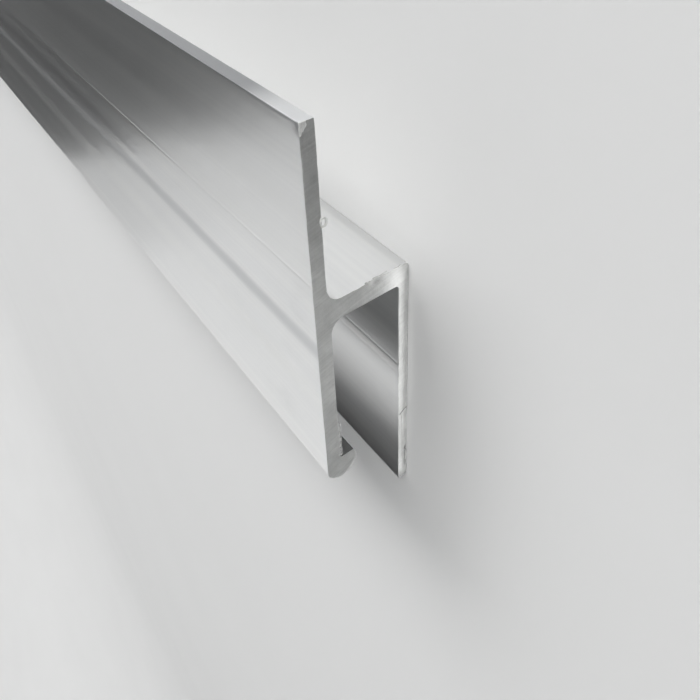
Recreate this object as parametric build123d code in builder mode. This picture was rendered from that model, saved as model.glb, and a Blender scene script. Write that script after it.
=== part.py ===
from build123d import *
from math import cos, radians, sin
import os

# Aluminium h-section extrusion, one piece of stock, millimetres.
# A tall back leg, a shorter front leg and one web between them, so that the
# section reads as a small letter h. A rounded snap barb runs along the inside
# of the back leg's foot and faces the front leg.
#
# It lies on the outer face of its front leg:
#   X  across the section, from the feet (-) to the free edge of the back leg (+)
#   Y  along the stock, with the sawn end at -Y
#   Z  up, from the front leg (z = 0) to the outer face of the back leg
# Origin: middle of the underside of the bounding box.

# ---- driving dimensions -------------------------------------------------
LENGTH = 1000.0        # stock length
HEIGHT = 37.7          # from the front leg's foot to the free edge of the back leg
WIDTH = 9.2            # over both legs

BACK_UPPER = 1.2       # back leg wall above the web
BACK_LOWER = 1.4       # back leg wall beside the channel
FRONT = 1.05           # front leg wall
WEB_TOP = 24.0         # top of the web, above the front leg's foot
WEB_BOTTOM = 22.3      # underside of the web

BACK_FOOT = 5.85       # lowest point of the back leg's foot, above the front leg's foot
BARB_SHELF = 8.1       # catching face of the barb
BARB_TIP = 2.85        # edge of the catching face, from the outer face of the back leg
BARB_REACH = 3.1       # furthest point of the barb, from the outer face of the back leg
FOOT_ROUND = 7.1       # where the outer face ends and the foot's round begins

FILLET_TOP = 1.3       # web to back leg, upper side
FILLET_UNDER = 1.2     # web to back leg, inside the channel
FILLET_FRONT = 0.35    # web to front leg, inside the channel
FILLET_SHELF = 0.25    # shelf of the barb to back leg
EDGE_FREE = 0.2        # free edge of the back leg
EDGE_OUTER = 0.3       # outer corner of web and front leg
EDGE_FOOT = 0.3        # foot of the front leg

SAW_SKEW = 9.0         # the sawn end is this many degrees off square, front leg set back


def at(w, h):
    """Section point: w from the outer face of the back leg, h above the front leg's foot."""
    return (h - HEIGHT / 2, WIDTH - w)


# ---- the extrusion ------------------------------------------------------
with BuildPart() as h_profile:
    with BuildSketch(Plane.XZ.offset(-LENGTH / 2)) as section:
        with BuildLine() as outline:
            # outer face of the back leg, free edge, inner face down to the web
            Polyline(
                at(0, FOOT_ROUND),
                at(0, HEIGHT),
                at(BACK_UPPER, HEIGHT),
                at(BACK_UPPER, WEB_TOP),
                at(WIDTH, WEB_TOP),
                at(WIDTH, 0),
                at(WIDTH - FRONT, 0),
                at(WIDTH - FRONT, WEB_BOTTOM),
                at(BACK_LOWER, WEB_BOTTOM),
                at(BACK_LOWER, BARB_SHELF),
                at(BARB_TIP, BARB_SHELF),
            )
            # round nose of the barb, then the round sole of the foot
            ThreePointArc(
                at(BARB_TIP, BARB_SHELF),
                at(BARB_REACH, 7.25),
                at(2.72, 6.4),
            )
            ThreePointArc(
                at(2.72, 6.4),
                at(1.65, BACK_FOOT),
                at(0.62, 6.15),
            )
            ThreePointArc(
                at(0.62, 6.15),
                at(0.17, 6.55),
                at(0, FOOT_ROUND),
            )
        make_face()

        def corner(w, h):
            """The section's vertex nearest to a corner given in w and h."""
            x, z = at(w, h)
            spots = section.sketch_local.vertices()
            return spots.sort_by(lambda v: abs(v.X - x) + abs(v.Y - z))[0]

        fillet(corner(BACK_UPPER, WEB_TOP), FILLET_TOP)
        fillet(corner(BACK_LOWER, WEB_BOTTOM), FILLET_UNDER)
        fillet(corner(WIDTH - FRONT, WEB_BOTTOM), FILLET_FRONT)
        fillet(corner(BACK_LOWER, BARB_SHELF), FILLET_SHELF)
        fillet(corner(WIDTH, WEB_TOP), EDGE_OUTER)
        fillet(corner(0, HEIGHT), EDGE_FREE)
        fillet(corner(BACK_UPPER, HEIGHT), EDGE_FREE)
        fillet(corner(WIDTH, 0), EDGE_FOOT)
        fillet(corner(WIDTH - FRONT, 0), EDGE_FOOT)
    extrude(amount=LENGTH)
    # the sawn end: a plane through the back leg's outer face at y = -LENGTH / 2
    split(
        bisect_by=Plane(
            origin=(0, -LENGTH / 2, WIDTH),
            x_dir=(1, 0, 0),
            z_dir=(0, cos(radians(SAW_SKEW)), sin(radians(SAW_SKEW))),
        ),
        keep=Keep.TOP,
    )

h_profile.part.label = "h_profile"

os.makedirs("parts", exist_ok=True)
export_step(h_profile.part, "parts/h_profile.step")

box = h_profile.part.bounding_box()
print("size", box.size, "min", box.min, "max", box.max)
print("volume mm3", round(h_profile.part.volume, 1), "mass kg", round(h_profile.part.volume * 2.7e-6, 4))
print("centre of mass", h_profile.part.center(CenterOf.MASS))
print("section area mm2", round(section.sketch_local.area, 3))
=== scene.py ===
import math

import bpy
import numpy as np
from mathutils import Matrix, Vector
from mathutils.geometry import delaunay_2d_cdt


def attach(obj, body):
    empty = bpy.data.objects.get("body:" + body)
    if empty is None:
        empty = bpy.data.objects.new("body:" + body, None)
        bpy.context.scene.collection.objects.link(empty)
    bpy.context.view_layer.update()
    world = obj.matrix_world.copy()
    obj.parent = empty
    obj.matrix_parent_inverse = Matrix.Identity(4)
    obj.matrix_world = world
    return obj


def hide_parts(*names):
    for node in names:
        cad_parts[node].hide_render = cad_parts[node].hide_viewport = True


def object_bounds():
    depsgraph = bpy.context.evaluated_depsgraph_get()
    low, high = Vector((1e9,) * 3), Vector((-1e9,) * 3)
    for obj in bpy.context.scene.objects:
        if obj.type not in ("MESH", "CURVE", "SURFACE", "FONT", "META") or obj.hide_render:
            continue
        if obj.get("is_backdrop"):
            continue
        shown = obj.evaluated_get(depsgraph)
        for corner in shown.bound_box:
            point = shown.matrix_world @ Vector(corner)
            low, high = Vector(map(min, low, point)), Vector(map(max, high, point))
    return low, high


# One length of aluminium h-section extrusion, mill finish, with a rough-sawn end.
# Section coordinates in millimetres: w from the outer face of the back leg
# towards the front leg, h up from the front leg's foot.
#   X = h - 18.85    Z = 9.2 - w    Y along the stock, sawn end at -500

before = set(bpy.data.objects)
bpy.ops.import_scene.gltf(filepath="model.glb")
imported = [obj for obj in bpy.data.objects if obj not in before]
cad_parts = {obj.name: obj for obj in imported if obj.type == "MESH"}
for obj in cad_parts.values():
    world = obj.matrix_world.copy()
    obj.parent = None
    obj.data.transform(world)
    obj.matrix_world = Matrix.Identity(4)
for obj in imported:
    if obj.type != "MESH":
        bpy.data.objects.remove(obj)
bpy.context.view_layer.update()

MM = 0.001
HEIGHT, WIDTH, HALF = 37.7, 9.2, 500.0
SKEW = math.tan(math.radians(9.0))  # the saw cut is this far off square
ROOM = 0.12  # the sawn face stands back by this much, and its burrs reach the end of the box


# ---- repeatable noise ---------------------------------------------------
def noise1(x, step, seed):
    """Smooth noise along a line, from -1 to 1."""
    table = np.random.RandomState(seed).uniform(-1, 1, 4099)
    t = np.asarray(x, float) / step
    i = np.floor(t).astype(int)
    f = t - i
    f = f * f * (3 - 2 * f)
    return table[i % 4099] * (1 - f) + table[(i + 1) % 4099] * f


def noise2(x, y, sx, sy, seed):
    """Smooth noise over a plane, from -1 to 1."""
    table = np.random.RandomState(seed).uniform(-1, 1, (257, 263))
    a, b = np.asarray(x, float) / sx, np.asarray(y, float) / sy
    i, j = np.floor(a).astype(int), np.floor(b).astype(int)
    f, g = a - i, b - j
    f, g = f * f * (3 - 2 * f), g * g * (3 - 2 * g)
    i0, i1, j0, j1 = i % 257, (i + 1) % 257, j % 263, (j + 1) % 263
    return (table[i0, j0] * (1 - f) + table[i1, j0] * f) * (1 - g) + (
        table[i0, j1] * (1 - f) + table[i1, j1] * f
    ) * g


def bell(x, at, wide):
    return np.exp(-(((np.asarray(x, float) - at) / wide) ** 2))


# ---- the section --------------------------------------------------------
points, kinds = [], []  # (w, h) and the name of the face each one lies on


def put(w, h, kind):
    points.append((w, h))
    kinds.append(kind)


def flat(a, b, kind, step=0.5, extra=()):
    """Points from a up to but not with b. extra are places along h or w with a fine groove or edge."""
    a, b = np.array(a, float), np.array(b, float)
    length = np.linalg.norm(b - a)
    t = set(np.linspace(0, 1, max(2, int(math.ceil(length / step)) + 1))[:-1].tolist())
    axis = 1 if abs(b[1] - a[1]) > abs(b[0] - a[0]) else 0
    for place, wide in extra:
        for k in (-2.4, -1.2, -0.5, 0.0, 0.5, 1.2, 2.4):
            u = (place + k * wide - a[axis]) / (b[axis] - a[axis])
            if 0.002 < u < 0.998:
                t.add(float(u))
    kept = []
    for u in sorted(t):
        if not kept or (u - kept[-1]) * length > 0.02:
            kept.append(u)
    for u in kept:
        p = a + (b - a) * u
        put(p[0], p[1], kind)


def bend(centre, r, from_deg, to_deg, kind, n):
    for k in range(n):
        a = math.radians(from_deg + (to_deg - from_deg) * k / n)
        put(centre[0] + r * math.cos(a), centre[1] + r * math.sin(a), kind)


def through(a, m, b, kind, n):
    """An arc from a through m, up to but not with b."""
    (ax, ay), (bx, by), (cx, cy) = a, m, b
    d = 2 * (ax * (by - cy) + bx * (cy - ay) + cx * (ay - by))
    ux = ((ax**2 + ay**2) * (by - cy) + (bx**2 + by**2) * (cy - ay) + (cx**2 + cy**2) * (ay - by)) / d
    uy = ((ax**2 + ay**2) * (cx - bx) + (bx**2 + by**2) * (ax - cx) + (cx**2 + cy**2) * (bx - ax)) / d
    r = math.hypot(ax - ux, ay - uy)
    s, e, mid = (math.atan2(y - uy, x - ux) for x, y in (a, b, m))
    turn = (e - s) % (2 * math.pi)
    if (mid - s) % (2 * math.pi) > turn:
        turn -= 2 * math.pi
    for k in range(n):
        t = s + turn * k / n
        put(ux + r * math.cos(t), uy + r * math.sin(t), kind)


LINES_OUTER = [(26.0, 0.1), (22.6, 0.25), (20.3, 0.45), (37.15, 0.18)]
LINES_FRONT_IN = [(13.3, 0.09), (14.35, 0.09)]
LINES_WEB = [(6.9, 0.08)]

flat((0, 7.1), (0, 37.63), "outer", extra=LINES_OUTER)
bend((0.07, 37.63), 0.07, 180, 90, "free", 4)
flat((0.07, 37.7), (1.12, 37.7), "free", 0.08)
bend((1.12, 37.62), 0.08, 90, 0, "free", 4)
flat((1.2, 37.62), (1.2, 25.3), "upper_in")
bend((2.5, 25.3), 1.3, 180, 270, "web_top", 12)
flat((2.5, 24.0), (8.9, 24.0), "web_top", 0.16, extra=LINES_WEB)
bend((8.9, 23.7), 0.3, 90, 0, "front_out", 6)
flat((9.2, 23.7), (9.2, 0.3), "front_out")
bend((8.9, 0.3), 0.3, 0, -90, "foot", 6)
flat((8.9, 0), (8.45, 0), "foot", 0.15)
bend((8.45, 0.3), 0.3, 270, 180, "foot", 6)
flat((8.15, 0.3), (8.15, 21.95), "front_in", extra=LINES_FRONT_IN)
bend((7.8, 21.95), 0.35, 0, 90, "web_under", 6)
flat((7.8, 22.3), (2.6, 22.3), "web_under", 0.4)
bend((2.6, 21.1), 1.2, 90, 180, "web_under", 12)
flat((1.4, 21.1), (1.4, 13.0), "back_in", 0.5)
flat((1.4, 13.0), (1.4, 8.35), "back_in", 0.09)
bend((1.65, 8.35), 0.25, 180, 270, "barb", 5)
flat((1.65, 8.1), (2.8, 8.1), "barb", 0.12)
bend((2.8, 8.05), 0.05, 90, 0, "barb", 3)
through((2.85, 8.05), (3.1, 7.25), (2.72, 6.4), "barb", 16)
through((2.72, 6.4), (1.65, 5.85), (0.62, 6.15), "barb", 12)
through((0.62, 6.15), (0.17, 6.55), (0, 7.1), "barb", 8)

P = np.array(points)
kind = np.array(kinds)
N = len(P)
ahead = np.roll(P, -1, 0) - P
behind = P - np.roll(P, 1, 0)
ahead /= np.linalg.norm(ahead, axis=1)[:, None]
behind /= np.linalg.norm(behind, axis=1)[:, None]
tangent = ahead + behind
tangent /= np.linalg.norm(tangent, axis=1)[:, None]
OUT = np.stack([-tangent[:, 1], tangent[:, 0]], 1)  # outward, for a clockwise loop
along = np.concatenate([[0], np.cumsum(np.linalg.norm(np.diff(P, axis=0), axis=1))])
girth = along[-1] + np.linalg.norm(P[0] - P[-1])

# ---- stations along the stock -------------------------------------------
steps = [0.0, 0.025, 0.06, 0.11, 0.18, 0.27, 0.38, 0.52, 0.7, 0.95, 1.3, 1.8, 2.5, 3.4, 4.5, 6.0]
while steps[-1] < 940:
    steps.append(steps[-1] + min(9.0, 0.22 * steps[-1]))
steps = [s for s in steps if s < 985] + [990.0, 995.0, 998.0, 999.2, 999.7, 999.9, 1000.0]
S = np.array(steps)
M = len(S)


def groove(h, y, lines, seed):
    """Depth of the die lines on a face, which come and go along the stock."""
    depth = np.zeros(np.broadcast(h, y).shape)
    for k, (place, wide, deep) in enumerate(lines):
        drift = 0.02 * noise1(y, 40.0, seed + 31 * k)
        strength = np.clip(0.75 + 0.6 * noise1(y, 26.0 + 7 * k, seed + 11 * k), 0.1, 1.2)
        depth = depth + deep * strength * bell(h, place + drift, wide)
    return depth


def surface(w, h, ow, oh, which, s):
    """Inward depth in mm of the drawn surface at one section point, for every station."""
    y = s
    depth = 0.004 + 0.004 * noise2(y, np.full_like(y, w * 3.1 + h * 2.3), 35.0, 1.3, 5)
    if which == "outer":
        depth = depth + groove(h, y, [(26.0, 0.1, 0.034)], 41)
        # a soft sink beside the web, which shows as a wide dull streak
        depth = depth + groove(h, y, [(20.3, 0.75, 0.012), (22.6, 0.45, 0.004)], 77)
    if which == "front_in":
        depth = depth + groove(h, y, [(13.3, 0.09, 0.014), (14.35, 0.09, 0.011)], 91)
    if which == "web_top":
        depth = depth + groove(w, y, [(6.9, 0.08, 0.006)], 17)
    return depth


# ---- the sawn edge: burrs, scallops and nicks ---------------------------
proud = np.zeros(N)  # how far a burr stands out from the face at the cut
spill = np.zeros(N)  # how far the rim stands out along the stock, towards -Y
w_, h_ = P[:, 0], P[:, 1]
rag = noise1(along, 0.17, 3)
fine = noise1(along, 0.09, 8)
spill += 0.012 + 0.012 * rag + 0.008 * fine

on = kind == "web_top"
proud[on] += (0.02 + 0.03 * np.clip(rag, 0, 1) + 0.02 * fine)[on]
flap = np.clip(bell(w_, 6.0, 0.75) * (0.75 + 0.35 * noise1(w_, 0.23, 19)), 0, 1)
proud[on] += 0.22 * flap[on]
spill[on] += 0.03 * flap[on]
proud[on] -= 0.10 * bell(w_, 5.05, 0.14)[on] + 0.08 * bell(w_, 7.25, 0.2)[on] + 0.05 * bell(w_, 4.1, 0.2)[on]

on = kind == "back_in"
teeth = np.abs(np.sin(h_ * 2 * math.pi / 1.35 + 0.8)) ** 0.7
reach = np.clip((12.6 - h_) / 1.6, 0, 1)
proud[on] += (reach * (0.05 + 0.17 * teeth + 0.05 * rag))[on]
spill[on] += (reach * 0.05 * teeth)[on]
on = kind == "barb"
proud[on] += 0.02 + 0.015 * rag[on]
spill[on] += 0.03
on = kind == "upper_in"
proud[on] += 0.012 + 0.012 * rag[on]
on = kind == "front_in"
proud[on] += 0.010 + 0.015 * rag[on]
on = (kind == "front_out") & (h_ < 23)
for place, wide, deep in ((3.8, 0.16, 0.22), (1.8, 0.2, 0.16), (2.9, 0.12, 0.08), (9.2, 0.12, 0.1), (7.9, 0.1, 0.08), (17.4, 0.15, 0.05)):
    proud[on] -= deep * bell(h_, place, wide)[on]
on = kind == "foot"
proud[on] -= 0.08 * np.clip(rag[on], 0, 1)
spill[on] -= 0.05 * np.clip(rag[on], 0, 1)

fall = np.exp(-((S / 0.16) ** 1.2))  # burrs fade within a few tenths of a millimetre
nick_fall = np.exp(-((S / 0.35) ** 1.5))

drag = np.exp(-((S / 0.42) ** 1.4))

verts = np.zeros((M, N, 3))
far_round = 0.02 * np.exp(-(((1000 - S) / 0.25) ** 2))
for k in range(N):
    depth = surface(P[k, 0], P[k, 1], OUT[k, 0], OUT[k, 1], kind[k], S)
    burr = np.where(proud[k] > 0, proud[k] * fall, proud[k] * nick_fall)
    off = burr - depth - far_round - 0.012 * np.exp(-((S / 0.05) ** 2))
    w, h = P[k, 0] + OUT[k, 0] * off, P[k, 1] + OUT[k, 1] * off
    # the corner that the saw dragged over as it left the metal
    up, near_corner = max(0.0, (P[k, 1] - 36.75) / 0.9), max(0.0, 1 - P[k, 0] / 0.6)
    w = w + 0.13 * min(1.0, up) ** 1.6 * near_corner * drag
    h = h - 0.10 * near_corner**1.5 * min(1.0, up) * drag
    start = ROOM + P[k, 0] * SKEW - spill[k]
    y = -HALF + start * np.clip(1 - S / 60.0, 0, 1) + S
    verts[:, k] = np.stack([h - HEIGHT / 2, y, WIDTH - w], 1)
verts[:, :, 1] = np.minimum(verts[:, :, 1], HALF)
verts[-1, :, 1] = HALF
lo = np.array([-HEIGHT / 2, -HALF, 0.0])
hi = np.array([HEIGHT / 2, HALF, WIDTH])
verts = np.clip(verts, lo, hi)
# the four outermost faces touch the CAD box in a few places, and never pass it

all_verts = [verts.reshape(-1, 3)]
faces, face_slot = [], []
count = M * N
idx = np.arange(M * N).reshape(M, N)
for a in range(M - 1):
    r0, r1 = idx[a], idx[a + 1]
    n0, n1 = np.roll(r0, -1), np.roll(r1, -1)
    faces.extend(zip(r0.tolist(), n0.tolist(), n1.tolist(), r1.tolist()))
face_slot.extend([0] * ((M - 1) * N))

# a second map, for baking: the skin unrolled, both ends flat, each burr on its own patch
su = 0.003 + 0.697 * (0.25 * np.arange(M) / (M - 1) + 0.75 * S / S[-1])
sv = 0.003 + 0.994 * (0.3 * np.arange(N + 1) / N + 0.7 * np.append(along, girth) / girth)
bake_uv = []
for a in range(M - 1):
    for k in range(N):
        bake_uv += [(su[a], sv[k]), (su[a], sv[k + 1]), (su[a + 1], sv[k + 1]), (su[a + 1], sv[k])]


# ---- the two ends -------------------------------------------------------
def inside(px, py, ring):
    """Which points lie inside the ring, and how far from it they are."""
    x0, y0 = ring[:, 0], ring[:, 1]
    x1, y1 = np.roll(x0, -1), np.roll(y0, -1)
    hit = ((y0 > py[:, None]) != (y1 > py[:, None])) & (
        px[:, None] < (x1 - x0) * (py[:, None] - y0) / (y1 - y0 + 1e-12) + x0
    )
    dx, dy = x1 - x0, y1 - y0
    t = np.clip(((px[:, None] - x0) * dx + (py[:, None] - y0) * dy) / (dx * dx + dy * dy), 0, 1)
    d = np.hypot(px[:, None] - x0 - t * dx, py[:, None] - y0 - t * dy).min(1)
    return hit.sum(1) % 2 == 1, d


def cap(row, pitch, near, seed, u0, v0, scale):
    """Triangles over one end. Its rim is the skin's own last row, so the solid is closed."""
    global count
    rim = verts[row]
    ring = np.stack([rim[:, 0], rim[:, 2]], 1)  # X and Z, millimetres
    gx = np.arange(ring[:, 0].min(), ring[:, 0].max(), pitch)
    gz = np.arange(ring[:, 1].min(), ring[:, 1].max(), pitch * 0.87)
    rng = np.random.RandomState(seed)
    X, Z = np.meshgrid(gx, gz)
    X = X + (np.arange(len(gz)) % 2)[:, None] * pitch / 2
    X = (X + rng.uniform(-0.18, 0.18, X.shape) * pitch).ravel()
    Z = (Z + rng.uniform(-0.18, 0.18, Z.shape) * pitch).ravel()
    kept, away = inside(X, Z, ring)
    use = kept & (away > 0.45 * pitch)
    X, Z, away = X[use], Z[use], away[use]
    flat_points = [Vector((float(a), float(b))) for a, b in ring] + [Vector((float(a), float(b))) for a, b in zip(X, Z)]
    edges = [(i, (i + 1) % N) for i in range(N)]
    made, _, tris, orig, _, _ = delaunay_2d_cdt(flat_points, edges, [], 1, 1e-7)
    if len(made) != len(flat_points):
        raise RuntimeError("the cap gained or lost a point")
    back = [o[0] for o in orig]
    w, h = WIDTH - Z, X + HEIGHT / 2
    if near:
        # arcs of a coarse saw, its chatter, and a few deeper scores
        r = np.hypot(h + 95.0, w - 30.0)
        marks = 0.010 * noise1(r, 0.33, 51) + 0.006 * noise1(r, 0.13, 52)
        marks = marks + 0.008 * noise2(h, w, 0.9, 0.6, 53) + 0.006 * noise2(h, w, 0.3, 0.3, 54)
        marks = marks + 0.02 * noise2(h, w, 6.0, 3.0, 55)
        for place, deep in ((108.5, 0.03), (114.1, 0.02), (121.7, 0.025), (103.6, 0.03)):
            marks = marks + deep * bell(r, place, 0.1)
        # scratches on the front leg
        for w0, h0, w1, h1, deep in ((8.35, 8.35, 9.2, 8.83, 0.08), (8.62, 8.3, 8.66, 5.4, 0.025), (9.0, 3.9, 9.2, 3.6, 0.08), (9.05, 3.5, 8.98, 1.4, 0.04)):
            t = np.clip(((w - w0) * (w1 - w0) + (h - h0) * (h1 - h0)) / ((w1 - w0) ** 2 + (h1 - h0) ** 2), 0, 1)
            marks = marks + deep * bell(np.hypot(w - w0 - t * (w1 - w0), h - h0 - t * (h1 - h0)), 0, 0.085)
        # a torn hollow under the burr on the web's top edge
        marks = marks + 0.11 * bell(w, 5.75, 0.42) * bell(h, 23.75, 0.22)
        soft = np.clip(away / 0.25, 0, 1)
        y = -HALF + ROOM + w * SKEW + 0.012 + marks * (0.3 + 0.7 * soft)
    else:
        y = HALF - 0.006 - 0.004 * noise2(h, w, 0.8, 0.5, 61) * np.clip(away / 0.4, 0, 1)
    inner = np.stack([X, y, Z], 1)
    inner = np.clip(inner, lo, hi)
    all_verts.append(inner)
    name = [int(idx[row, i]) if i < N else count + i - N for i in range(len(flat_points))]
    for t in tris:
        t = [back[i] for i in (t if near else (t[0], t[2], t[1]))]
        faces.append(tuple(name[i] for i in t))
        face_slot.append(1)
        for i in t:
            x, z = flat_points[i]
            bake_uv.append((u0 + scale * (WIDTH - z), v0 + scale * (x + HEIGHT / 2)))
    count += len(inner)


cap(0, 0.13, True, 101, 0.708, 0.005, 0.0249)
cap(M - 1, 0.45, False, 102, 0.943, 0.005, 0.006)


# ---- loose burrs, as closed slivers set into the rim --------------------
def sliver(path, radii, seed, squash, u0, v0, dv, slot=2, sides=7):
    """A closed, tapering thread of torn metal along a path of (w, y, h) points."""
    global count
    path = np.array(path, float)
    q = np.stack([path[:, 2] - HEIGHT / 2, path[:, 1], WIDTH - path[:, 0]], 1)
    rng = np.random.RandomState(seed)
    d = np.gradient(q, axis=0)
    d /= np.linalg.norm(d, axis=1)[:, None]
    base = count
    rings = []
    up = np.array([0.31, -0.9, 0.29])
    for i in range(len(q)):
        a = np.cross(d[i], up)
        a /= np.linalg.norm(a)
        b = np.cross(a, d[i])
        for s in range(sides):
            t = 2 * math.pi * s / sides
            r = radii[i] * rng.uniform(0.85, 1.15)
            rings.append(q[i] + r * (a * math.cos(t) + b * math.sin(t) * squash))
    ends = [q[0] - d[0] * radii[0] * 0.6, q[-1] + d[-1] * radii[-1] * 0.6]
    block = np.clip(np.array(rings + ends), lo, hi)
    all_verts.append(block)
    n = len(q)

    def spot(a, b):
        return (u0 + 0.0118 * a / sides, v0 + dv * (b + 1) / (n + 1))

    for i in range(n - 1):
        for s in range(sides):
            a, b = base + i * sides + s, base + i * sides + (s + 1) % sides
            faces.append((a, b, b + sides, a + sides))
            face_slot.append(slot)
            bake_uv.extend([spot(s, i), spot(s + 1, i), spot(s + 1, i + 1), spot(s, i + 1)])
    first, last = base + n * sides, base + n * sides + 1
    for s in range(sides):
        faces.append((first, base + (s + 1) % sides, base + s))
        faces.append((last, base + (n - 1) * sides + s, base + (n - 1) * sides + (s + 1) % sides))
        face_slot.extend([slot, slot])
        bake_uv.extend([spot(s + 0.5, -1), spot(s + 1, 0), spot(s, 0), spot(s + 0.5, n), spot(s, n - 1), spot(s + 1, n - 1)])
    count += len(block)


def cut_y(w):
    return -HALF + ROOM + w * SKEW


# a curl of swarf that still clings to the back leg's inner edge
curl = []
for i in range(25):
    a = math.radians(-160 + 345 * i / 24)
    curl.append((1.30 + 0.24 * math.cos(a), cut_y(1.3) - 0.02 - 0.06 * i / 24, 30.62 + 0.33 * math.sin(a)))
sliver(curl, [0.045 + 0.05 * math.sin(math.pi * (i + 2) / 28) for i in range(25)], 7, 0.8, 0.944, 0.25, 0.16, 3)


# the saw's exit burr, a thin lip folded down over the free edge
def lip(front, back):
    """A closed thin plate between two grids of (w, y, h) points."""
    global count
    front, back = np.array(front, float), np.array(back, float)
    a, b = front.shape[:2]
    both = np.concatenate([front.reshape(-1, 3), back.reshape(-1, 3)])
    block = np.clip(np.stack([both[:, 2] - HEIGHT / 2, both[:, 1], WIDTH - both[:, 0]], 1), lo, hi)
    all_verts.append(block)
    f = count + np.arange(a * b).reshape(a, b)
    k = f + a * b
    for i in range(a - 1):
        for j in range(b - 1):
            faces.append((int(f[i, j]), int(f[i, j + 1]), int(f[i + 1, j + 1]), int(f[i + 1, j])))
            faces.append((int(k[i, j]), int(k[i + 1, j]), int(k[i + 1, j + 1]), int(k[i, j + 1])))
            face_slot.extend([3, 3])
            for u0, order in ((0.944, ((0, 0), (0, 1), (1, 1), (1, 0))), (0.972, ((0, 0), (1, 0), (1, 1), (0, 1)))):
                bake_uv.extend([(u0 + 0.025 * (i + p) / (a - 1), 0.55 + 0.2 * (j + q) / (b - 1)) for p, q in order])
    ring = [(i, 0) for i in range(a)] + [(a - 1, j) for j in range(1, b)] + [(i, b - 1) for i in range(a - 2, -1, -1)] + [(0, j) for j in range(b - 2, 0, -1)]
    for n in range(len(ring)):
        p, q = ring[n], ring[(n + 1) % len(ring)]
        faces.append((int(f[p]), int(f[q]), int(k[q]), int(k[p])))
        face_slot.append(3)
        u, v = 0.944 + 0.053 * n / len(ring), 0.944 + 0.053 * (n + 1) / len(ring)
        bake_uv.extend([(u, 0.78), (v, 0.78), (v, 0.80), (u, 0.80)])
    count += len(block)


front, back = [], []
for i, u in enumerate(np.linspace(0, 1, 15)):
    drop = (0.26 + 0.70 * (1 - u) ** 1.2) * (1 + 0.16 * float(noise1(i, 1.7, 71))) * (0.8 if u < 0.05 else 1)
    f_row, b_row = [], []
    for v in np.linspace(0, 1, 12):
        w = 0.0 + 0.56 * u + 0.03 * math.sin(5 * v + 3 * u)
        h = 37.69 - drop * v
        stand = 0.015 + 0.085 * math.sin(math.pi * min(1.0, 0.12 + 0.75 * v)) * (1 - 0.45 * u)
        f_row.append((w, cut_y(w) - stand - 0.008 * float(noise1(i * 3.1 + v * 9, 1.3, 72)), h))
        b_row.append((w, cut_y(w) + 0.05, h + 0.02 * v))
    front.append(f_row)
    back.append(b_row)
lip(front, back)
# a bright thread along the barb's nose
nose = [p for p, k in zip(P.tolist(), kind) if k == "barb" and p[0] > 2.2 and p[1] < 8.05]
sliver(
    [(w + 0.02 * math.sin(9 * i), cut_y(w) - 0.03, h) for i, (w, h) in enumerate(nose)],
    [0.03 + 0.02 * abs(math.sin(1.7 * i)) for i in range(len(nose))],
    33,
    0.8,
    0.958,
    0.25,
    0.16,
)
# a torn strip above the barb
strip = [(1.52 + 0.10 * abs(math.sin(h * 2.3)), cut_y(1.5) - 0.02, h) for h in np.linspace(8.25, 12.0, 40)]
sliver(strip, [0.030 + 0.030 * abs(math.sin(2.3 * i)) for i in range(40)], 34, 0.7, 0.972, 0.25, 0.16)
# shreds on the web's top edge
for j, (w0, w1, top, r) in enumerate(((4.75, 5.25, 24.08, 0.09), (5.5, 6.9, 24.16, 0.06), (7.7, 8.4, 24.05, 0.045))):
    sliver(
        [(w0 + (w1 - w0) * t, cut_y(w0 + (w1 - w0) * t) - 0.02, top + 0.05 * math.sin(7 * t + j)) for t in np.linspace(0, 1, 9)],
        [r * (0.45 + 0.55 * math.sin(math.pi * (0.1 + 0.8 * t))) for t in np.linspace(0, 1, 9)],
        50 + j,
        0.7,
        0.986 - 0.014 * j,
        0.44,
        0.07,
    )

co = np.concatenate(all_verts) * MM
mesh = bpy.data.meshes.new("h_profile_skin")
mesh.from_pydata(co.tolist(), [], faces)
mesh.update()
mesh.polygons.foreach_set("material_index", face_slot)

# ---- maps: one along the grain, which the grain's direction is read from
grain = mesh.uv_layers.new(name="grain")
loops = np.zeros(len(mesh.loops), int)
mesh.loops.foreach_get("vertex_index", loops)
uv = np.zeros((len(mesh.loops), 2))
uv[:, 0] = co[loops, 1]
uv[:, 1] = co[loops, 0] * 0.7 + co[loops, 2] * 0.7
grain.data.foreach_set("uv", uv.ravel())
mesh.uv_layers.new(name="OFBake").data.foreach_set("uv", np.array(bake_uv, float).ravel())

piece = bpy.data.objects.new("h_profile_skin", mesh)
bpy.context.scene.collection.objects.link(piece)
mesh.polygons.foreach_set("use_smooth", [s != 1 for s in face_slot])
# the rim of each cut stays sharp
sharp = {tuple(sorted((int(idx[r, i]), int(idx[r, (i + 1) % N])))) for r in (0, M - 1) for i in range(N)}
flags = [tuple(sorted(e.vertices)) in sharp for e in mesh.edges]
mesh.attributes.new("sharp_edge", "BOOLEAN", "EDGE").data.foreach_set("value", flags)
mesh.update()


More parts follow.
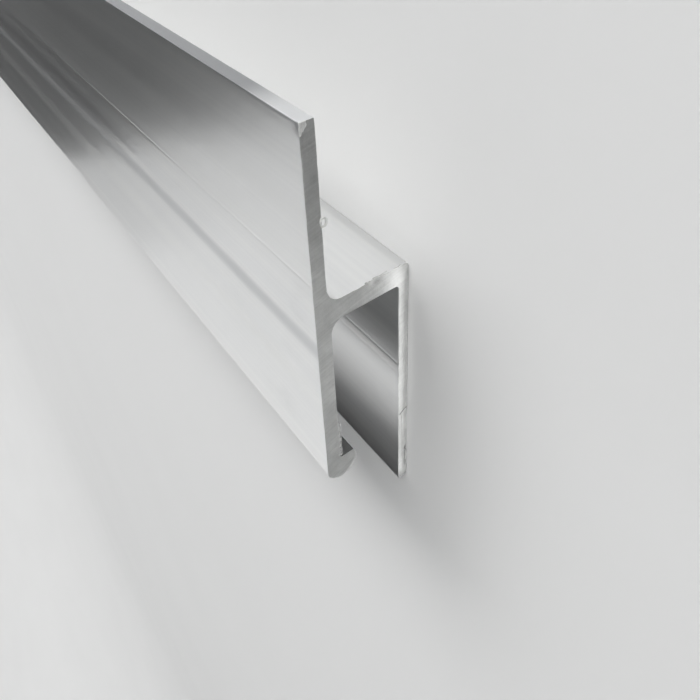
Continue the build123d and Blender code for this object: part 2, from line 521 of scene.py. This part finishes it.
# ---- materials ----------------------------------------------------------
class Nodes:
    def __init__(self, name):
        self.mat = bpy.data.materials.new(name)
        self.mat.use_nodes = True
        self.nt = self.mat.node_tree
        self.bsdf = self.nt.nodes["Principled BSDF"]

    def add(self, kind, **values):
        n = self.nt.nodes.new(kind)
        for k, v in values.items():
            setattr(n, k, v)
        return n

    def link(self, a, b):
        self.nt.links.new(a, b)

    def feed(self, socket, value):
        if hasattr(value, "is_output"):
            self.link(value, socket)
        else:
            socket.default_value = value

    def math(self, op, a, b=0.0, c=0.0):
        n = self.add("ShaderNodeMath", operation=op)
        for s, v in zip(n.inputs, (a, b, c)):
            self.feed(s, v)
        return n.outputs[0]

    def place(self):
        """Object coordinates in millimetres."""
        tc = self.add("ShaderNodeTexCoord")
        v = self.add("ShaderNodeVectorMath", operation="SCALE")
        self.link(tc.outputs["Object"], v.inputs[0])
        v.inputs["Scale"].default_value = 1000.0
        return v.outputs[0]

    def scaled(self, vec, x, y, z):
        v = self.add("ShaderNodeVectorMath", operation="MULTIPLY")
        self.link(vec, v.inputs[0])
        v.inputs[1].default_value = (x, y, z)
        return v.outputs[0]

    def noise(self, vec, scale=1.0, detail=2.0, rough=0.5, distortion=0.0):
        n = self.add("ShaderNodeTexNoise")
        self.link(vec, n.inputs["Vector"])
        n.inputs["Scale"].default_value = scale
        n.inputs["Detail"].default_value = detail
        n.inputs["Roughness"].default_value = rough
        n.inputs["Distortion"].default_value = distortion
        return n.outputs["Fac"]

    def span(self, x, a, b, lo, hi, smooth=False):
        n = self.add("ShaderNodeMapRange", interpolation_type="SMOOTHSTEP" if smooth else "LINEAR")
        self.feed(n.inputs["Value"], x)
        for k, v in (("From Min", a), ("From Max", b), ("To Min", lo), ("To Max", hi)):
            n.inputs[k].default_value = v
        return n.outputs["Result"]

    def mix(self, fac, a, b):
        n = self.add("ShaderNodeMix", data_type="RGBA")
        self.feed(n.inputs[0], fac)
        for s, v in ((n.inputs[6], a), (n.inputs[7], b)):
            self.feed(s, v if hasattr(v, "is_output") else (*v, 1.0) if len(v) == 3 else v)
        return n.outputs[2]

    def bump(self, height, distance, strength=1.0, normal=None):
        n = self.add("ShaderNodeBump")
        n.inputs["Strength"].default_value = strength
        n.inputs["Distance"].default_value = distance
        self.link(height, n.inputs["Height"])
        if normal is not None:
            self.link(normal, n.inputs["Normal"])
        return n.outputs["Normal"]


def mill_finish():
    m = Nodes("mill_finish")
    p = m.place()
    sep = m.add("ShaderNodeSeparateXYZ")
    m.link(p, sep.inputs[0])
    # broad and fine bands left by the die, which run along the stock
    broad = m.noise(m.scaled(p, 0.42, 0.0022, 0.42), 1.0, 2.0)
    lines = m.noise(m.scaled(p, 2.3, 0.004, 2.3), 1.0, 1.0, 0.5)
    cloud = m.noise(m.scaled(p, 0.09, 0.02, 0.09), 1.0, 3.0, 0.6)
    tone = m.math("ADD", m.math("MULTIPLY", broad, 0.45), m.math("MULTIPLY", lines, 0.35))
    tone = m.math("ADD", tone, m.math("MULTIPLY", cloud, 0.2))
    tone = m.span(tone, 0.36, 0.64, 0.0, 1.0)
    colour = m.mix(tone, (0.745, 0.75, 0.755), (0.81, 0.815, 0.81))
    # wear marks and thin oxide, a little duller
    smudge = m.noise(m.scaled(p, 0.12, 0.05, 0.12), 1.0, 5.0, 0.62, 0.4)
    smudge = m.span(smudge, 0.56, 0.80, 0.0, 0.35, True)
    colour = m.mix(smudge, colour, (0.60, 0.61, 0.605))
    # the dull streak beside the web, on the back leg's outer face only
    away = m.math("ABSOLUTE", m.math("SUBTRACT", sep.outputs["X"], 1.45))
    waver = m.noise(m.scaled(p, 0.9, 0.01, 0.9), 1.0, 2.0)
    streak = m.span(m.math("ADD", away, m.math("MULTIPLY", waver, 0.5)), 0.45, 1.35, 1.0, 0.0, True)
    streak = m.math("MULTIPLY", streak, m.span(sep.outputs["Z"], 9.0, 9.1, 0.0, 1.0))
    colour = m.mix(m.math("MULTIPLY", streak, 0.75), colour, (0.64, 0.65, 0.66))
    # the free edge carries a painted highlight near the sawn end, a little rougher there, and painted shade further
    # along the stock
    edge = m.span(sep.outputs["X"], 18.72, 18.80, 0.0, 1.0)
    painted_shade_free_edge = m.math("MULTIPLY", edge, m.span(sep.outputs["Y"], -498.6, -491.5, 0.0, 1.0, True))
    painted_highlight_free_edge = m.math("SUBTRACT", edge, painted_shade_free_edge)
    colour = m.mix(painted_shade_free_edge, colour, (0.41, 0.42, 0.435))
    colour = m.mix(painted_highlight_free_edge, colour, (0.86, 0.87, 0.88))
    m.link(colour, m.bsdf.inputs["Base Color"])
    rough = m.math("ADD", m.span(lines, 0.35, 0.65, -0.006, 0.006), m.span(broad, 0.35, 0.65, 0.29, 0.32))
    rough = m.math("ADD", rough, m.math("MULTIPLY", painted_highlight_free_edge, 0.17))
    rough = m.math("ADD", rough, m.math("MULTIPLY", streak, 0.07))
    rough = m.math("ADD", rough, m.math("MULTIPLY", smudge, 0.10))
    m.link(rough, m.bsdf.inputs["Roughness"])
    m.bsdf.inputs["Metallic"].default_value = 1.0
    m.bsdf.inputs["Anisotropic"].default_value = 0.45
    tan = m.add("ShaderNodeTangent", direction_type="UV_MAP", uv_map="grain")
    m.link(tan.outputs[0], m.bsdf.inputs["Tangent"])
    n = m.bump(lines, 0.0000004)
    m.link(n, m.bsdf.inputs["Normal"])
    return m.mat


def sawn():
    m = Nodes("sawn_face")
    p = m.place()
    sep = m.add("ShaderNodeSeparateXYZ")
    m.link(p, sep.inputs[0])
    # distance from the blade's far centre gives the arcs
    dx = m.math("ADD", sep.outputs["X"], 113.85)
    dz = m.math("ADD", sep.outputs["Z"], 20.8)
    r = m.math("SQRT", m.math("ADD", m.math("MULTIPLY", dx, dx), m.math("MULTIPLY", dz, dz)))
    comb = m.add("ShaderNodeCombineXYZ")
    m.link(r, comb.inputs["X"])
    m.link(m.math("MULTIPLY", sep.outputs["Z"], 0.10), comb.inputs["Y"])
    arcs = m.noise(m.scaled(comb.outputs[0], 5.0, 1.0, 1.0), 1.0, 4.0, 0.65)
    grit = m.noise(m.scaled(p, 6.0, 6.0, 6.0), 1.0, 4.0, 0.65)
    patch = m.noise(m.scaled(p, 0.55, 0.55, 0.55), 1.0, 3.0, 0.55)
    tone = m.math("ADD", m.math("MULTIPLY", arcs, 0.45), m.math("MULTIPLY", patch, 0.4))
    tone = m.math("ADD", tone, m.math("MULTIPLY", grit, 0.15))
    tone = m.span(tone, 0.36, 0.64, 0.0, 1.0)
    # the cut is kept much darker than the mill finish: partly the cut's own duller tone, partly painted shade on the
    # end face
    colour = m.mix(tone, (0.47, 0.475, 0.47), (0.66, 0.665, 0.655))
    # painted shade in the grooves that the mesh cuts on the front leg: a slanting scratch, a nick, and two fine lines
    # down from them
    for x0, z0, x1, z1, wide, strong in (
        (-10.50, 0.80, -10.02, 0.02, 0.10, 0.7),
        (-15.00, 0.10, -15.20, 0.16, 0.17, 0.8),
        (-15.35, 0.15, -17.45, 0.22, 0.09, 0.5),
        (-10.55, 0.58, -17.60, 0.52, 0.05, 0.3),
    ):
        long = (x1 - x0) ** 2 + (z1 - z0) ** 2
        ux, uz = m.math("SUBTRACT", sep.outputs["X"], x0), m.math("SUBTRACT", sep.outputs["Z"], z0)
        t = m.math("ADD", m.math("MULTIPLY", ux, (x1 - x0) / long), m.math("MULTIPLY", uz, (z1 - z0) / long))
        t = m.span(t, 0.0, 1.0, 0.0, 1.0)
        ex = m.math("SUBTRACT", ux, m.math("MULTIPLY", t, x1 - x0))
        ez = m.math("SUBTRACT", uz, m.math("MULTIPLY", t, z1 - z0))
        d = m.math("SQRT", m.math("ADD", m.math("MULTIPLY", ex, ex), m.math("MULTIPLY", ez, ez)))
        d = m.math("ADD", d, m.math("MULTIPLY", grit, 0.06))
        colour = m.mix(m.span(d, 0.03 + 0.3 * wide, 0.03 + wide, strong, 0.0, True), colour, (0.07, 0.07, 0.065))
    m.link(colour, m.bsdf.inputs["Base Color"])
    m.link(m.span(arcs, 0.3, 0.7, 0.42, 0.58), m.bsdf.inputs["Roughness"])
    m.bsdf.inputs["Metallic"].default_value = 1.0
    n = m.bump(arcs, 0.00003)
    n = m.bump(grit, 0.000012, 1.0, n)
    m.link(n, m.bsdf.inputs["Normal"])
    return m.mat


def torn(name, low, high, rough):
    m = Nodes(name)
    p = m.place()
    grit = m.noise(m.scaled(p, 9.0, 9.0, 9.0), 1.0, 3.0, 0.6)
    m.link(m.mix(m.span(grit, 0.35, 0.65, 0.0, 1.0), (low, low * 1.01, low), (high, high, high * 0.98)), m.bsdf.inputs["Base Color"])
    m.link(m.span(grit, 0.35, 0.65, rough, rough + 0.14), m.bsdf.inputs["Roughness"])
    m.bsdf.inputs["Metallic"].default_value = 1.0
    m.link(m.bump(grit, 0.00001), m.bsdf.inputs["Normal"])
    return m.mat


# torn_burr, and a brighter, rougher copy of it for the lip and the curl, whose extra brightness is a painted highlight
for made in (mill_finish(), sawn(), torn("torn_burr", 0.54, 0.72, 0.36), torn("torn_burr_painted_bright", 0.78, 0.9, 0.52)):
    mesh.materials.append(made)

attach(piece, "root")
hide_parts("h_profile")

# ---- light --------------------------------------------------------------
lamps = []  # position, aim, width, height and power of each lamp that lights the floor


def softbox(name, at, aim, wide, high, watts, lights_floor=True):
    data = bpy.data.lights.new(name, "AREA")
    data.shape = "RECTANGLE"
    data.size, data.size_y, data.energy = wide, high, watts * 0.79
    o = bpy.data.objects.new(name, data)
    bpy.context.scene.collection.objects.link(o)
    o.location = at
    o.rotation_mode = "QUATERNION"
    o.rotation_quaternion = (Vector(aim) - Vector(at)).to_track_quat("-Z", "Y")
    o.visible_camera = False
    o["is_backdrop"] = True
    if lights_floor:
        lamps.append((at, o.rotation_quaternion.copy(), wide, high, watts * 0.79))
    else:
        o.visible_diffuse = False
    return o


# the two key lamps light the floor, and the metal mirrors a dimmer copy of each, as through a scrim
for name, at, aim, wide, watts in (("key", (1.6, -0.70, 0.80), (0, -0.5, 0), 2.7, 42), ("key_back", (1.46, 0.45, 0.68), (0, -0.45, 0), 1.3, 21)):
    softbox(name, at, aim, wide, 0.7, watts).visible_glossy = False
    softbox(name + "_scrim", at, aim, wide, 0.7, watts * 0.72, False)
softbox("overhead", (-0.4, 0.0, 2.2), (-0.4, 0.0, 0), 2.6, 2.6, 5)
# a low panel in front of the sawn end and a small one that the free edge's corner mirrors, for the metal alone
softbox("fill", (0.2, -1.5, 0.6), (0, -0.5, 0), 1.6, 0.6, 4.5, False)
softbox("rim", (0.42, 0.47, 0.36), (0.0187, -0.49, 0.009), 0.30, 0.25, 0.26, False)
for name, at, aim, watts in (("wall_a", (-0.25, 0.2, 1.5), (-2.1, 1.7, 0.55), 5.5), ("wall_b", (-0.95, 0.5, 1.35), (-1.9, 1.15, 0.1), 2.4), ("wash", (-0.85, 0.45, 0.95), (-0.85, 0.45, 0), 1.1)):
    softbox(name, at, aim, 1.6, 1.0, watts).visible_glossy = False
softbox("wall_c", (2.3, -0.1, 1.9), (4.2, -0.1, 0.9), 3.0, 1.0, 22).visible_glossy = False
# a large dim panel, which the back leg's outer face mirrors: the metal sees it, the floor doesn't
softbox("panel", (-1.08, 0.64, 0.58), (0, -0.5, 0.0), 1.25, 0.85, 1.22, False)
# a small reflector on the floor in front of the sawn end, and one beside the web's top face
softbox("glow", (-0.007, -0.4997, 0.0003), (-0.007, -0.4985, 0.002), 0.024, 0.0014, 0.0002, False)
softbox("glow_web", (0.014, -0.43, 0.0003), (0.014, -0.43, 0.1), 0.016, 0.24, 0.0021, False)

# ---- floor and cove, one surface ----------------------------------------
profile = [(0.0, 0.0)] + [(r, 0.0) for r in np.linspace(0.06, 0.62, 12).tolist()]
for k in range(1, 28):
    r = 0.62 + 1.38 * k / 27
    profile.append((r, 0.30 * (r - 0.62) ** 2))
start = math.atan(0.6 * 1.38)
for k in range(1, 17):
    a = start + (math.pi / 2 - start) * k / 16
    profile.append((2.0 + 0.9 * (math.sin(a) - math.sin(start)), 0.30 * 1.38**2 + 0.9 * (math.cos(start) - math.cos(a))))
profile += [(profile[-1][0], 1.6), (profile[-1][0], 2.0), (profile[-1][0], 2.4)]
AROUND = 144
fv, ff = [(0.0, 0.0, 0.0)], []
for r, z in profile[1:]:
    for k in range(AROUND):
        a = 2 * math.pi * k / AROUND
        q = r * (1 + 1.1 * max(0.0, math.cos(a + 0.35)) ** 2)  # wider on the lamps' side, so that they stand on the flat
        fv.append((q * math.cos(a), q * math.sin(a), z))
for k in range(AROUND):
    ff.append((0, 1 + k, 1 + (k + 1) % AROUND))
for j in range(len(profile) - 2):
    for k in range(AROUND):
        a, b = 1 + j * AROUND + k, 1 + j * AROUND + (k + 1) % AROUND
        ff.append((a, a + AROUND, b + AROUND, b))
fm = bpy.data.meshes.new("floor")
fm.from_pydata(fv, [], ff)
fm.polygons.foreach_set("use_smooth", [True] * len(ff))
fm.update()

# how much light each place on the floor gets, so that the paint can even out the lamps' falloff
spots = np.array(fv)
up = np.zeros(len(fv) * 3)
fm.vertices.foreach_get("normal", up)
up = up.reshape(-1, 3)
up = np.where(up[:, 2:3] < 0, -up, up)
gain = np.full(len(fv), 0.10 * math.pi)
for at, turn, wide, high, power in lamps:
    facing = np.array(turn @ Vector((0, 0, -1)))
    for i in range(12):
        for j in range(6):
            q = np.array(at) + np.array(turn @ Vector((wide * ((i + 0.5) / 12 - 0.5), high * ((j + 0.5) / 6 - 0.5), 0)))
            d = q - spots
            far = np.linalg.norm(d, axis=1)
            gain += power / (math.pi * 72) * np.clip((d * up).sum(1) / far, 0, None) * np.clip(-(d @ facing) / far, 0, None) / np.maximum(far, 0.12) ** 2
near_end = np.hypot(spots[:, 0], spots[:, 1] + 0.45).argmin()
even = np.clip(1.05 * gain[near_end] / gain, 0.10, 1.0)
fm.attributes.new("even", "FLOAT", "POINT").data.foreach_set("value", even)

floor = bpy.data.objects.new("floor", fm)
floor.location = (0, 0, -0.00003)
bpy.context.scene.collection.objects.link(floor)
m = Nodes("floor_paint")
p = m.place()
paint = m.mix(m.noise(m.scaled(p, 0.01, 0.01, 0.01), 1.0, 3.0), (0.81, 0.81, 0.805), (0.85, 0.85, 0.845))
level = m.add("ShaderNodeAttribute", attribute_type="GEOMETRY", attribute_name="even")
m.link(m.mix(level.outputs["Fac"], (0.0, 0.0, 0.0), paint), m.bsdf.inputs["Base Color"])
m.bsdf.inputs["Roughness"].default_value = 0.75
m.bsdf.inputs["Specular IOR Level"].default_value = 0.25
fm.materials.append(m.mat)
floor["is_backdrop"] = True

# cards that only the metal sees, which put painted reflections of shade and light into it: a dark one and a low pale
# one beyond the far end, a dark one on the floor before the sawn end, and a grey one low along the feet for painted
# shade in the channel
def card_paint(name, low, high):
    m = Nodes(name)
    p = m.place()
    m.link(m.mix(m.noise(m.scaled(p, 0.004, 0.004, 0.004)), (low, low, low), (high, high, high)), m.bsdf.inputs["Base Color"])
    m.bsdf.inputs["Roughness"].default_value = 0.9
    return m.mat


dark, grey, pale = card_paint("card_dark", 0.012, 0.02), card_paint("card_grey", 0.10, 0.13), card_paint("card_pale", 0.50, 0.56)


def card(name, paint, corners):
    cm = bpy.data.meshes.new(name)
    cm.from_pydata(corners, [], [(0, 1, 2, 3)])
    cm.update()
    cm.materials.append(paint)
    o = bpy.data.objects.new(name, cm)
    bpy.context.scene.collection.objects.link(o)
    o.visible_camera = o.visible_diffuse = o.visible_shadow = o.visible_transmission = False
    o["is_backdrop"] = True


card("card_far", dark, [(-0.43, 0.62, 0), (-0.13, 0.62, 0), (-0.13, 0.62, 0.67), (-0.488, 0.62, 0.67)])
card("card_low", pale, [(-0.62, 0.61, 0), (-0.475, 0.61, 0), (-0.475, 0.61, 0.30), (-0.62, 0.61, 0.30)])
card("card_end", dark, [(0.003, -0.545, 0.0002), (0.05, -0.545, 0.0002), (0.05, -0.5035, 0.0002), (0.003, -0.5035, 0.0002)])
card("card_feet", grey, [(-0.0215, -0.505, 0), (-0.0215, -0.42, 0), (-0.0225, -0.42, 0.0085), (-0.0225, -0.505, 0.0085)])

world = bpy.data.worlds.new("studio")
bpy.context.scene.world = world
world.use_nodes = True
world.node_tree.nodes["Background"].inputs["Color"].default_value = (0.9, 0.95, 1.0, 1.0)
world.node_tree.nodes["Background"].inputs["Strength"].default_value = 0.10

bpy.context.scene.view_settings.view_transform = "Standard"

# ---- camera, solved from the photographed edges of the section ----------
camera = bpy.data.cameras.new("camera")
camera.sensor_width = 36.0
camera.lens = 38.3548
camera.clip_start, camera.clip_end = 0.001, 50.0
camera.dof.use_dof = False
eye = bpy.data.objects.new("camera", camera)
bpy.context.scene.collection.objects.link(eye)
eye.matrix_world = Matrix(
    (
        (-0.0391804743, 0.7763528925, 0.6290795472, 0.035885019),
        (-0.5357794879, 0.5150895935, -0.6690463743, -0.537590506),
        (-0.8434484162, -0.3632614719, 0.3957725006, 0.028748185),
        (0, 0, 0, 1),
    )
)
bpy.context.scene.camera = eye
bpy.context.view_layer.update()

# ---- size of what the scene draws ---------------------------------------
low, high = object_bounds()
